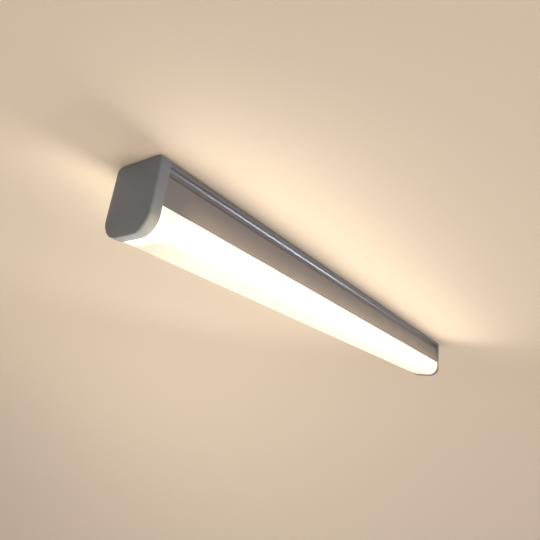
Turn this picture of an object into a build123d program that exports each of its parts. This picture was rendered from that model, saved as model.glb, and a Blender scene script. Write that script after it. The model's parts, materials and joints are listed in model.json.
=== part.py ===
"""Waterproof LED batten for a ceiling.

An extruded aluminium housing hangs from two spring clips in its back channel. An opal cover snaps along its
foot, two plug-in end caps with gaskets close it, and the right cap carries the cable gland. The driver, its
terminal block and the LED board are inside.

Frame: X runs along the length, -Y is the front, Z is up, and z = 0 is the ceiling plane at mid length.
All sizes are in millimetres.
"""

import os
from math import radians, tan

from build123d import *

# End caps, which set the outer size
length = 600.0
cap_width = 45.0
cap_height = 53.0
cap_depth = 8.3
cap_lower_radius = 14.0
cap_upper_radius = 4.5
cap_face = 2.2
cap_face_edge = 0.9
cap_rear_edge = 0.4
cap_proud = 1.0

# Seat of the profile's end in a cap, its gasket and the two plugs
seat_depth = 2.5
seat_clearance = 0.15
gasket_thickness = 1.5
plug_reach = 9.0
plug_wall = 1.6
plug_clearance = 0.25
plug_corner = 0.9

# Housing profile
wall = 1.8
wall_drop = 32.0
top_edge = 1.0
groove_drop = 8.5
groove_radius = 3.5
back_wall = 1.6
channel_mouth = 16.0
channel_width = 22.0
channel_drop = 8.0
shelf = 1.8
shelf_drop = 28.0
catch_depth = 0.8
catch_height = 1.4
foot_edge = 0.35

# Opal cover
cover_wall = 1.6
cover_gap = 0.15
cover_leg = 1.5
hook_height = 1.4

# LED board and its rails under the shelf
board_width = 24.0
board_thickness = 1.0
board_end_gap = 1.5
rail_wall = 1.2
rail_lip = 1.2
slide_clearance = 0.1
led_length = 3.5
led_width = 2.8
led_height = 0.7
led_pitch = 10.4

# Mounting clips
clip_inset = 100.0
clip_length = 24.0
clip_sheet = 1.0
clip_side_gap = 0.6
clip_foot_gap = 0.1
clip_foot_reach = 2.3
clip_bend = 0.4
clip_hole_radius = 2.25

# Cable gland on the right cap
gland_drop = 18.0
spout_radius = 8.0
spout_length = 11.0
spout_bore = 6.3
spout_floor = 3.0
cable_hole = 4.5
seal_bore = 3.5
seal_collar = 1.2
gland_clearance = 0.1
nut_across_flats = 20.0
nut_sides = 6
nut_stand_off = 1.0
nut_roof = 3.6
nut_opening = 4.4
nut_edge = 1.2

# Driver tray and board
tray_thickness = 1.0
tray_half_width = 14.5
tray_length = 306.0
tray_end_gap = 46.7
ledge_width = 1.2
ledge_height = 2.0
driver_length = 190.0
driver_thickness = 1.6
driver_setback = 32.0
driver_side_gap = 0.2

# Driver parts on the board
connector_length = 8.0
connector_height = 8.0
core_length = 22.0
core_width = 18.0
core_thickness = 6.0
core_centre_leg = 5.0
core_window_width = 6.0
core_window_length = 12.0
winding_height = 10.8
winding_corner = 2.5
winding_gap = 0.1
winding_side_gap = 0.4
transformer_setback = 90.0
can_radius = 5.0
can_length = 16.0
can_edge = 0.6
can_crimp = 2.7
can_sides = 16
can_setback = 135.0
can_side = 6.0
choke_radius = 5.2
choke_thickness = 5.2
choke_sides = 16
choke_edge = 1.5
choke_setback = 56.0
choke_side = 5.0
rectifier_length = 4.0
rectifier_width = 9.0
rectifier_height = 5.0
rectifier_setback = 75.0
rectifier_side = 6.0
switch_length = 5.0
switch_width = 4.0
switch_height = 1.8
switch_setback = 110.0
switch_side = 8.0
film_length = 13.0
film_width = 6.0
film_height = 9.0
film_edge = 0.8
film_setback = 40.0
film_side = 6.0
fuse_radius = 2.0
fuse_length = 15.0
ferrule_radius = 2.4
ferrule_length = 4.0
fuse_sides = 12
fuse_setback = 38.0
fuse_side = 9.0

# Terminal block
terminal_inset = 4.0
terminal_width = 24.0
terminal_length = 20.0
terminal_height = 12.5
terminal_edge = 1.0
pole_pitch = 8.0
entry_radius = 1.7
entry_depth = 9.0
entry_rise = 9.0
button_size = 3.6
button_gap = 0.2
button_length = 11.2
button_proud = 2.2
button_travel = 1.2
button_rise = 3.6
button_slot = 0.9
button_slot_depth = 0.4
spring_sheet = 0.4
spring_fold = 1.2
spring_gap = 0.3

# Wires and fixings
wire_sides = 6
mains_wire = 1.1
wire_lead_out = 6.0
wire_bow = 2.5
wire_lift = 1.2
led_lead = 0.7
lead_pitch = 2.6
lead_setback = 20.0
lead_side = 7.0
lead_sag = 2.5
lead_level_share = 0.25
lead_dip_share = 0.55
led_connector_height = 3.0
socket_clearance = 0.1
screw_radius = 1.45
screw_head = 2.8
screw_head_height = 2.0
screw_head_edge = 0.8
screw_slot = 0.7
screw_sides = 12
screw_clearance = 0.05
tray_screw_inset = 8.0
tag_radius = 4.0
tag_thickness = 0.8
tag_reach = 8.0
tag_barrel = 3.2
tag_crimp = 0.4
tag_sides = 12
tag_window_gap = 1.0
earth_setback = 26.0
earth_side = 7.0

# Places that follow from the sizes above
profile_half_width = cap_width / 2 - cap_proud
profile_top = -cap_proud
profile_bottom = cap_proud - cap_height
profile_lower_radius = cap_lower_radius - cap_proud
cap_end = length / 2
cap_rear = cap_end - cap_depth
seat_floor = cap_rear + seat_depth
profile_end = seat_floor - gasket_thickness
plug_end = profile_end - plug_reach
wall_inner = profile_half_width - wall
channel_floor = -channel_drop
chamber_top = channel_floor - wall
shelf_under = -shelf_drop
shelf_top = shelf_under + shelf
foot = -wall_drop
lip_under = profile_top - back_wall
catch_top = foot + catch_height
leg_outer = wall_inner - catch_depth - cover_gap
leg_inner = leg_outer - cover_leg
hook_top = catch_top + cover_gap + hook_height
cover_top = foot - cover_gap
shoulder_under = cover_top - cover_wall
board_half = board_width / 2
board_under = shelf_under - board_thickness
tray_end = profile_end - tray_end_gap
tray_start = tray_end - tray_length
tray_floor = shelf_top + tray_thickness
tray_inner = tray_half_width - tray_thickness
driver_under = tray_floor + ledge_height
driver_top = driver_under + driver_thickness
terminal_front = tray_end - terminal_inset
terminal_back = terminal_front - terminal_length
driver_end = terminal_back - driver_setback
driver_start = driver_end - driver_length
clip_x = cap_end - clip_inset
poles = {"live": pole_pitch, "neutral": 0.0, "earth": -pole_pitch}
connector_x = tray_start - lead_setback
earth_x = terminal_back - earth_setback
earth_y = -earth_side
tag_barrel_height = shelf_top + tag_thickness + mains_wire
lead_socket = board_under - led_connector_height / 2
transformer_x = driver_end - transformer_setback
transformer_height = driver_top + winding_height / 2
button_height = tray_floor + button_rise
button_back = terminal_front + button_proud - button_length
well_back = button_back - button_travel - spring_gap - spring_fold


def strip(y0, y1, z0, z1):
    """A rectangle of the cross-section between two places across and two heights."""
    return Pos((y0 + y1) / 2, (z0 + z1) / 2) * Rectangle(abs(y1 - y0), abs(z1 - z0))


def both_sides(sketch):
    """A piece of the cross-section and its mirror image."""
    return sketch + mirror(sketch, about=Plane.YZ)


def outline(half_width, top, bottom, upper_radius, lower_radius):
    """A cross-section with one radius for its upper corners and one for its lower corners."""
    shape = strip(-half_width, half_width, top, bottom)
    shape = fillet(shape.vertices().group_by(Axis.Y)[-1], upper_radius)
    return fillet(shape.vertices().group_by(Axis.Y)[0], lower_radius)


def prism(sketch, x0, x1):
    """A cross-section drawn out along X from x0 to x1."""
    return extrude(Plane.YZ.offset(min(x0, x1)) * sketch, amount=abs(x1 - x0))


def block(x0, x1, y0, y1, z0, z1):
    """A rectangular solid between two corners."""
    size = (abs(x1 - x0), abs(y1 - y0), abs(z1 - z0))
    return Pos((x0 + x1) / 2, (y0 + y1) / 2, (z0 + z1) / 2) * Box(*size)


def rod_x(radius, x0, x1, y, z):
    """A round bar along X."""
    return Pos((x0 + x1) / 2, y, z) * Rot(0, 90, 0) * Cylinder(radius, abs(x1 - x0))


def post(radius, x, y, z0, z1):
    """A round bar along Z."""
    return Pos(x, y, (z0 + z1) / 2) * Cylinder(radius, abs(z1 - z0))


def flats(radius, sides):
    """A round section drawn with many flats, one of which faces down."""
    return RegularPolygon(radius, sides, major_radius=False, rotation=180 / sides)


def flat_post(radius, sides, x, y, z0, z1):
    """A bar along Z with many flats, which fits a round hole of its radius."""
    return Pos(x, y, min(z0, z1)) * extrude(RegularPolygon(radius, sides), amount=abs(z1 - z0))


def wire(points, radius):
    """A wire of a few flats through straight runs, with each bend as large as its two runs allow."""
    corners = [Vector(*p) for p in points]
    bends = []
    for before, at, after in zip(corners, corners[1:], corners[2:]):
        turn = (at - before).get_angle(after - at)
        shorter = min((at - before).length, (after - at).length)
        bends.append(0.45 * shorter / tan(radians(turn) / 2))
    path = FilletPolyline(*corners, radius=bends)
    section = Plane(origin=path @ 0, z_dir=path % 0) * RegularPolygon(radius, wire_sides)
    print(f"wire {path.length:.1f} mm long, bends {[round(b, 1) for b in bends]}")
    return sweep(section, path=path)


def housing_extrusion():
    """The aluminium profile: grooved walls, back channel, LED shelf with rails and catches for the cover."""
    skin = outline(profile_half_width, profile_top, foot, top_edge, foot_edge)
    groove = Pos(profile_half_width, -groove_drop)
    walls = strip(wall_inner, profile_half_width, profile_top, foot)
    walls += groove * Circle(groove_radius + wall)
    walls += strip(channel_mouth / 2, profile_half_width, profile_top, lip_under)
    walls += strip(channel_width / 2, channel_width / 2 + wall, profile_top, chamber_top)
    walls += strip(0, channel_width / 2 + wall, channel_floor, chamber_top)
    walls += strip(0, profile_half_width, shelf_under, shelf_top)
    walls += strip(wall_inner - catch_depth, wall_inner, catch_top, foot)
    rail_inner = board_half + slide_clearance
    lip_top = board_under - slide_clearance
    rail_foot = lip_top - rail_lip
    walls += strip(rail_inner, rail_inner + rail_wall, shelf_under, rail_foot)
    walls += strip(rail_inner - rail_lip, rail_inner, lip_top, rail_foot)
    section = both_sides(walls) & skin
    section -= both_sides(groove * Circle(groove_radius))
    body = prism(section, -profile_end, profile_end)
    for x, y, _ in tray_screw_places():
        body -= post(screw_radius + screw_clearance, x, y, shelf_under, shelf_top)
    body -= post(screw_radius + screw_clearance, earth_x, earth_y, shelf_under, shelf_top)
    return body - post(lead_pitch, connector_x, lead_side, shelf_under, shelf_top)


def diffuser():
    """The opal cover: a rounded trough with a shoulder and a hooked leg on each edge."""
    section = outline(profile_half_width, cover_top, profile_bottom, cover_gap, profile_lower_radius)
    inside = outline(
        profile_half_width - cover_wall,
        cover_top + cover_wall,
        profile_bottom + cover_wall,
        cover_gap,
        profile_lower_radius - cover_wall,
    )
    section -= inside
    edge = strip(leg_inner, profile_half_width - cover_gap, cover_top, shoulder_under)
    edge += strip(leg_inner, leg_outer, shoulder_under, hook_top)
    edge += strip(leg_inner, wall_inner - cover_gap, hook_top - hook_height, hook_top)
    return prism(section + both_sides(edge), -profile_end, profile_end)


def diffuser_seal(side):
    """The silicone strip between the cover's hook and the shelf, on the front (-1) or rear (1)."""
    section = strip(side * leg_inner, side * (wall_inner - cover_gap), hook_top, shelf_under)
    return prism(section, -profile_end, profile_end)


def led_board():
    """The LED board, with a hole where its two leads come through from the driver."""
    half_length = profile_end - board_end_gap
    board = block(-half_length, half_length, -board_half, board_half, board_under, shelf_under)
    return board - post(lead_pitch, connector_x, lead_side, board_under, shelf_under)


def leds():
    """One row of surface-mounted LED packages along the board."""
    count = int((2 * (profile_end - board_end_gap) - led_pitch) // led_pitch)
    first = -(count - 1) * led_pitch / 2
    bottom = board_under - led_height
    places = [first + i * led_pitch for i in range(count)]
    half = led_width / 2
    package = block(-led_length / 2, led_length / 2, -half, half, bottom, board_under)
    return [Pos(x, 0, 0) * package for x in places]


def plug_outlines(grow):
    """The cross-sections of a cap's two plugs: the driver chamber's and the light chamber's."""
    gap = plug_clearance - grow
    gear_half = profile_half_width - groove_radius - wall - gap
    gear = strip(-gear_half, gear_half, chamber_top - gap, shelf_top + gap)
    gear = chamfer(gear.vertices(), plug_corner)
    light_half = profile_half_width - cover_wall - gap
    light = strip(-light_half, light_half, shoulder_under - gap, profile_bottom + cover_wall + gap)
    light = chamfer(light.vertices().group_by(Axis.Y)[-1], plug_corner)
    return gear, fillet(light.vertices().group_by(Axis.Y)[0], profile_lower_radius - cover_wall - gap)


def left_cap():
    """A moulded end cap at the left end: a rounded flange, a seat for the profile and two hollow plugs."""
    rim = outline(cap_width / 2, 0, -cap_height, cap_upper_radius, cap_lower_radius)
    cap = prism(rim, -cap_end, -cap_rear)
    face_edges = cap.faces().sort_by(Axis.X)[0].edges()
    cap = chamfer(face_edges, cap_face_edge)
    rear_edges = cap.faces().sort_by(Axis.X)[-1].edges()
    cap = chamfer(rear_edges, cap_rear_edge)
    seat = outline(
        profile_half_width + seat_clearance,
        profile_top + seat_clearance,
        profile_bottom - seat_clearance,
        top_edge + seat_clearance,
        profile_lower_radius + seat_clearance,
    )
    cap -= prism(seat, -seat_floor, -cap_rear)
    for plug, hollow in zip(plug_outlines(0), plug_outlines(-plug_wall)):
        cap += prism(plug, -seat_floor, -plug_end)
        cap -= prism(hollow, -cap_end + cap_face, -plug_end)
    return cap


def right_cap():
    """The same moulding at the right end, with the gland's spout and its cable hole."""
    cap = mirror(left_cap(), about=Plane.YZ)
    centre = (0, -gland_drop)
    cap += rod_x(spout_radius, cap_end - cap_face, cap_end + spout_length, *centre)
    cap -= rod_x(spout_bore, cap_end + spout_floor, cap_end + spout_length, *centre)
    return cap - rod_x(cable_hole, cap_end - cap_face, cap_end + spout_floor, *centre)


def cap_gasket(side):
    """The flat gasket between a cap's seat and the profile's end, with windows for the plugs."""
    sheet = outline(profile_half_width, profile_top, profile_bottom, top_edge, profile_lower_radius)
    for window in plug_outlines(plug_clearance):
        sheet -= window
    return prism(sheet, side * profile_end, side * seat_floor)


def turned(points, y, z):
    """A solid of revolution about a line along X, from (x, radius) points."""
    flat = [(x, y, z + radius) for x, radius in points]
    return revolve(make_face(Polyline(*flat, close=True)), axis=Axis((0, y, z), (1, 0, 0)))


def gland_seal():
    """The rubber bush in the spout, with a collar that the nut presses on."""
    start = cap_end + spout_floor
    mouth = cap_end + spout_length
    end = mouth + seal_collar
    outer = spout_bore - gland_clearance
    collar = spout_radius - gland_clearance
    inner_edge = [(end, seal_bore), (start, seal_bore)]
    outer_edge = [(start, outer), (mouth, outer), (mouth, collar), (end, collar)]
    return turned(inner_edge + outer_edge, 0, -gland_drop)


def gland_nut():
    """The hexagonal cap nut over the spout, open in the middle for the cable."""
    start = cap_end + nut_stand_off
    ceiling = cap_end + spout_length + seal_collar + gland_clearance
    end = ceiling + nut_roof
    hexagon = RegularPolygon(nut_across_flats / 2, nut_sides, major_radius=False)
    nut = prism(Pos(0, -gland_drop) * hexagon, start, end)
    nut = chamfer(nut.faces().sort_by(Axis.X)[-1].edges(), nut_edge)
    nut -= rod_x(spout_radius + gland_clearance, start, ceiling, 0, -gland_drop)
    return nut - rod_x(nut_opening, ceiling, end, 0, -gland_drop)


def mounting_clip(x):
    """A folded spring-steel clip: its base lies on the ceiling and its feet hook under the channel's lips."""
    side = channel_mouth / 2 - clip_side_gap
    foot_top = lip_under - clip_foot_gap
    foot_under = foot_top - clip_sheet
    half = strip(0, side, -clip_sheet, 0)
    half += strip(side - clip_sheet, side, 0, foot_under)
    half += strip(side - clip_sheet, side + clip_foot_reach, foot_top, foot_under)
    section = both_sides(half)
    bends = [v for v in section.vertices() if abs(v.X) > side - clip_sheet / 2 and v.Y > -clip_sheet / 2]
    section = fillet(bends, clip_bend)
    clip = prism(section, x - clip_length / 2, x + clip_length / 2)
    return clip - post(clip_hole_radius, x, 0, -clip_sheet, 0)


def tray_screw_places():
    """Where the tray's screws stand, each with the height of the face under its head."""
    return [(tray_start + tray_screw_inset, 0.0, tray_floor), (earth_x, -earth_y, tray_floor)]


def driver_tray():
    """The plastic tray on the shelf: side walls with a ledge and a lip that hold the driver board."""
    wall_top = driver_top + slide_clearance + tray_thickness
    half = strip(0, tray_half_width, shelf_top, tray_floor)
    half += strip(tray_inner, tray_half_width, shelf_top, wall_top)
    half += strip(tray_inner - ledge_width, tray_inner, tray_floor, driver_under)
    half += strip(tray_inner - ledge_width / 2, tray_inner, driver_top + slide_clearance, wall_top)
    tray = prism(both_sides(half), tray_start, tray_end)
    for x, y, _ in tray_screw_places():
        tray -= post(screw_radius + screw_clearance, x, y, shelf_top, tray_floor)
    tray -= post(tag_radius + tag_window_gap, earth_x, earth_y, shelf_top, tray_floor)
    slot_half = mains_wire + tag_crimp + tag_window_gap
    slot_end = earth_x + tag_reach + wire_lead_out + tag_window_gap
    return tray - block(earth_x, slot_end, earth_y - slot_half, earth_y + slot_half, shelf_top, tray_floor)


def pan_screw(x, y, seat):
    """A pan-head screw down through the shelf, with a domed head and a cross recess."""
    head = flat_post(screw_head, screw_sides, x, y, seat, seat + screw_head_height)
    head = chamfer(head.faces().sort_by(Axis.Z)[-1].edges(), screw_head_edge)
    screw = head + flat_post(screw_radius, screw_sides, x, y, shelf_under, seat)
    for turn in (0, 90):
        slot = Box(screw_head, screw_slot, screw_head_height)
        screw -= Pos(x, y, seat + screw_head_height) * Rot(0, 0, turn) * slot
    return screw


def earth_tag():
    """The ring tag under the earth screw, with its crimp barrel towards the terminal block."""
    top = shelf_top + tag_thickness
    barrel_start = earth_x + tag_reach - tag_barrel
    barrel_radius = mains_wire + tag_crimp
    tag = flat_post(tag_radius, tag_sides, earth_x, earth_y, shelf_top, top)
    tag += block(earth_x, earth_x + tag_reach, earth_y - mains_wire, earth_y + mains_wire, shelf_top, top)
    barrel = Pos(earth_y, tag_barrel_height) * flats(barrel_radius, tag_sides)
    tag += prism(barrel, barrel_start, earth_x + tag_reach)
    return tag - post(screw_radius + screw_clearance, earth_x, earth_y, shelf_top, top)


def driver_board():
    """The driver's circuit board, slid into the tray under its lips."""
    half = tray_inner - driver_side_gap
    return block(driver_start, driver_end, -half, half, driver_under, driver_top)


def on_board(x, y, size_x, size_y, size_z):
    """A block that stands on the driver board, centred on a place."""
    return Pos(x, y, driver_top + size_z / 2) * Box(size_x, size_y, size_z)


def driver_connectors():
    """The driver's output and input housings at the two ends of its board."""
    output_width = 2 * (lead_pitch + led_lead)
    inlet_width = pole_pitch + 4 * mains_wire
    half = connector_length / 2
    output = on_board(driver_start + half, lead_side, connector_length, output_width, connector_height)
    inlet = on_board(driver_end - half, pole_pitch / 2, connector_length, inlet_width, connector_height)
    return [output, inlet]


def led_connector():
    """The lead housing under the LED board, with a socket for each lead."""
    half = lead_pitch / 2 + 2 * led_lead
    bottom = board_under - led_connector_height
    x0, x1 = connector_x - half, connector_x + half
    housing = block(x0, x1, lead_side - half, lead_side + half, bottom, board_under)
    room = 2 * (led_lead + socket_clearance)
    depth = board_under - lead_socket
    for side in (-1, 1):
        y = lead_side + side * lead_pitch / 2
        housing -= Pos(connector_x, y, lead_socket + depth / 2) * Box(room, room, depth)
    return housing


def transformer_core():
    """The ferrite core: two windows leave a centre leg and two outer legs."""
    core = Box(core_length, core_width, core_thickness)
    for side in (-1, 1):
        window_x = side * (core_centre_leg + core_window_width) / 2
        core -= Pos(window_x, 0, 0) * Box(core_window_width, core_window_length, core_thickness)
    return Pos(transformer_x, 0, transformer_height) * core


def transformer_winding():
    """The taped winding round the core's centre leg."""
    width = core_centre_leg + 2 * (core_window_width - winding_side_gap)
    tape = fillet(Rectangle(width, winding_height).vertices(), winding_corner)
    tape -= Rectangle(core_centre_leg + 2 * winding_gap, core_thickness + 2 * winding_gap)
    turns = extrude(Plane.XZ * tape, amount=core_window_length / 2 - winding_side_gap, both=True)
    return Pos(transformer_x, 0, transformer_height) * turns


def driver_capacitor(y):
    """An electrolytic can lying on the board, with the crimp groove near its seal."""
    x0 = driver_end - can_setback
    place = Pos(y, driver_top + can_radius)
    can = prism(place * flats(can_radius, can_sides), x0, x0 + can_length)
    ends = can.faces().sort_by(Axis.X)
    can = chamfer(ends[0].edges() + ends[-1].edges(), can_edge)
    groove = flats(can_radius, can_sides) - flats(can_radius - can_edge, can_sides)
    return can - prism(place * groove, x0 + can_crimp - can_edge, x0 + can_crimp + can_edge)


def driver_choke():
    """A toroidal choke lying on the board."""
    half = choke_thickness / 2
    ring = RegularPolygon(choke_radius + half, choke_sides) - RegularPolygon(choke_radius - half, choke_sides)
    core = extrude(ring, amount=choke_thickness)
    levels = core.edges().group_by(Axis.Z)
    core = chamfer(levels[0] + levels[-1], choke_edge)
    return Pos(driver_end - choke_setback, -choke_side, driver_top) * core


def driver_chips():
    """The rectifier, the switching chip and the film capacitor on the driver board."""
    rectifier = on_board(
        driver_end - rectifier_setback, -rectifier_side, rectifier_length, rectifier_width, rectifier_height
    )
    switch = on_board(driver_end - switch_setback, -switch_side, switch_length, switch_width, switch_height)
    film = on_board(driver_end - film_setback, film_side, film_length, film_width, film_height)
    return [rectifier, switch, chamfer(film.edges(), film_edge)]


def driver_fuse():
    """The cartridge fuse with its two end ferrules, beside the live input."""
    x0 = driver_end - fuse_setback
    height = driver_top + ferrule_radius
    place = Pos(-fuse_side, height)
    fuse = prism(place * flats(fuse_radius, fuse_sides), x0, x0 + fuse_length)
    for start in (x0, x0 + fuse_length - ferrule_length):
        fuse += prism(place * flats(ferrule_radius, fuse_sides), start, start + ferrule_length)
    return fuse


def terminal_block():
    """The push-in terminal block, with a wire entry and a button well for each of three poles."""
    half = terminal_width / 2
    body = block(terminal_back, terminal_front, -half, half, tray_floor, tray_floor + terminal_height)
    body = chamfer(body.edges().filter_by(Axis.Y).group_by(Axis.Z)[-1], terminal_edge)
    entry_height = tray_floor + entry_rise
    well = button_size + 2 * button_gap
    for y in poles.values():
        body -= rod_x(entry_radius, terminal_front - entry_depth, terminal_front, y, entry_height)
        depth = terminal_front - well_back
        body -= Pos(well_back + depth / 2, y, button_height) * Box(depth, well, well)
    return body


def terminal_button(y):
    """A release button in its well, with a screwdriver slot across its end."""
    half = button_size / 2
    end = terminal_front + button_proud
    button = block(end - button_length, end, -half, half, -half, half)
    button -= block(end - button_slot_depth, end, -half, half, -button_slot / 2, button_slot / 2)
    return Pos(0, y, button_height) * button


def terminal_spring(y):
    """The leaf spring behind a button, a U of flat strip at the back of its well."""
    half = button_size / 2
    front = well_back + spring_fold
    leaf = block(well_back, front, -half, half, -half, half)
    gap = block(well_back + spring_sheet, front - spring_sheet, -half, half, -half, half - spring_sheet)
    return Pos(0, y, button_height) * (leaf - gap)


def mains_wires():
    """The three wires behind the terminal block: live and neutral to the driver, earth to its tag."""
    start = tray_floor + terminal_height / 2
    inlet = driver_top + connector_height / 2
    middle = (terminal_back + driver_end) / 2
    routes = {}
    for name, bow, lift in (("live", wire_bow, wire_lift), ("neutral", -wire_bow, -wire_lift)):
        y = poles[name]
        routes[name] = [
            (terminal_back, y, start),
            (terminal_back - wire_lead_out, y, start),
            (middle, y + bow, (start + inlet) / 2 + lift),
            (driver_end + wire_lead_out, y, inlet),
            (driver_end, y, inlet),
        ]
    barrel_end = earth_x + tag_reach
    routes["earth"] = [
        (terminal_back, poles["earth"], start),
        (terminal_back - wire_lead_out, poles["earth"], start),
        (barrel_end + wire_lead_out, earth_y, tag_barrel_height),
        (barrel_end, earth_y, tag_barrel_height),
    ]
    return {name: wire(points, mains_wire) for name, points in routes.items()}


def led_leads():
    """The two leads from the driver's output, along the tray and down into the LED board's housing."""
    height = driver_top + connector_height / 2
    span = driver_start - connector_x
    leads = []
    for side in (-1, 1):
        y = lead_side + side * lead_pitch / 2
        points = [
            (driver_start, y, height),
            (driver_start - lead_level_share * span, y, height),
            (driver_start - lead_dip_share * span, y, height - lead_sag),
            (connector_x, y, height - lead_sag / 2),
            (connector_x, y, lead_socket),
        ]
        leads.append(wire(points, led_lead))
    return leads


def main():
    """Builds every piece and writes one STEP file for each."""
    mains = mains_wires()
    leads = led_leads()
    pieces = {
        "housing_extrusion": housing_extrusion(),
        "diffuser": diffuser(),
        "diffuser_seal_front": diffuser_seal(-1),
        "diffuser_seal_rear": diffuser_seal(1),
        "led_board": led_board(),
        "leds": leds(),
        "led_connector": led_connector(),
        "end_cap_left": left_cap(),
        "end_cap_right": right_cap(),
        "cap_gasket_left": cap_gasket(-1),
        "cap_gasket_right": cap_gasket(1),
        "gland_seal": gland_seal(),
        "gland_nut": gland_nut(),
        "mounting_clip_left": mounting_clip(-clip_x),
        "mounting_clip_right": mounting_clip(clip_x),
        "driver_tray": driver_tray(),
        "tray_screws": [pan_screw(*place) for place in tray_screw_places()],
        "driver_board": driver_board(),
        "driver_connectors": driver_connectors(),
        "transformer_core": transformer_core(),
        "transformer_winding": transformer_winding(),
        "driver_capacitors": [driver_capacitor(can_side), driver_capacitor(-can_side)],
        "driver_choke": driver_choke(),
        "driver_chips": driver_chips(),
        "driver_fuse": driver_fuse(),
        "terminal_block": terminal_block(),
        "terminal_springs": [terminal_spring(y) for y in poles.values()],
        "earth_screw": pan_screw(earth_x, earth_y, shelf_top + tag_thickness),
        "earth_tag": earth_tag(),
        "wire_live": mains["live"],
        "wire_neutral": mains["neutral"],
        "wire_earth": mains["earth"],
        "led_lead_positive": leads[0],
        "led_lead_negative": leads[1],
    }
    for pole, y in poles.items():
        pieces[f"terminal_button_{pole}"] = terminal_button(y)
    os.makedirs("parts", exist_ok=True)
    for name, piece in pieces.items():
        shape = Compound(piece) if isinstance(piece, list) else piece
        export_step(shape, f"parts/{name}.step")


main()
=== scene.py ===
"""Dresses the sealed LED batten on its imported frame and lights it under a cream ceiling.

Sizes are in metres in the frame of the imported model: X along the length, -Y the front, z = 0 the ceiling.
"""

from __future__ import annotations

import json
import logging
from dataclasses import dataclass, field
from enum import Enum
from math import cos, pi, radians, sin
from typing import Any

import bmesh
import bpy
from mathutils import Matrix, Vector

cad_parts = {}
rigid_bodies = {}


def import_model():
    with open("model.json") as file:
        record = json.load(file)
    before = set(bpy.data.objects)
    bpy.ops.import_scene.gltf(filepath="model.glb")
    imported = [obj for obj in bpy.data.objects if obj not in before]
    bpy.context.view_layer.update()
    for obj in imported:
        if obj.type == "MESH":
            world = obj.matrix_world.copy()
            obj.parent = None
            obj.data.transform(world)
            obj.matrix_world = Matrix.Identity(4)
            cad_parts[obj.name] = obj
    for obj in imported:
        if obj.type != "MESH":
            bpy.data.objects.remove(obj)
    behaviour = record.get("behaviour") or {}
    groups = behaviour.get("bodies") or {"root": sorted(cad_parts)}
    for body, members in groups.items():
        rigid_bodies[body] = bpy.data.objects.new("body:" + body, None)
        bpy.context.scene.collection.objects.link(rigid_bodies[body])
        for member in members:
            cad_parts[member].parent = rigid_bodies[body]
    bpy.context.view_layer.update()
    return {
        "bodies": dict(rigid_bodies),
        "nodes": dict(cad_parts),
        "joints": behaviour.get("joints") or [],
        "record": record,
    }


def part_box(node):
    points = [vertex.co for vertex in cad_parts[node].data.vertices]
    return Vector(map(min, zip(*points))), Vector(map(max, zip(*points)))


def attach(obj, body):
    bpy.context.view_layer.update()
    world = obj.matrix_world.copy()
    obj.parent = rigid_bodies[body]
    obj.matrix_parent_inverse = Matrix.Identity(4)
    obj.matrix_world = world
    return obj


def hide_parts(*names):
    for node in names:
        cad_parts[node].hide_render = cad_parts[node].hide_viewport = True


LOG = logging.getLogger("batten")
SOFT_ANGLE = 35.0
Colour = tuple[float, float, float]
Point = tuple[float, float, float]
Names = tuple[str, ...]
Socket = bpy.types.NodeSocket
Tree = bpy.types.NodeTree
Feed = Any


def put(name: str, data: bpy.types.ID) -> bpy.types.Object:
    """Makes an object of some data and links it to the scene.

    Args:
        name: the object's name.
        data: the mesh, light or camera.

    Returns:
        The new object.
    """
    thing = bpy.data.objects.new(name, data)
    bpy.context.scene.collection.objects.link(thing)
    return thing


class Pattern(Enum):
    """The shared patterns that a finish can carry."""

    MOULDED = "moulded_grain"
    DRAWN = "drawn_lines"


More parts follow.
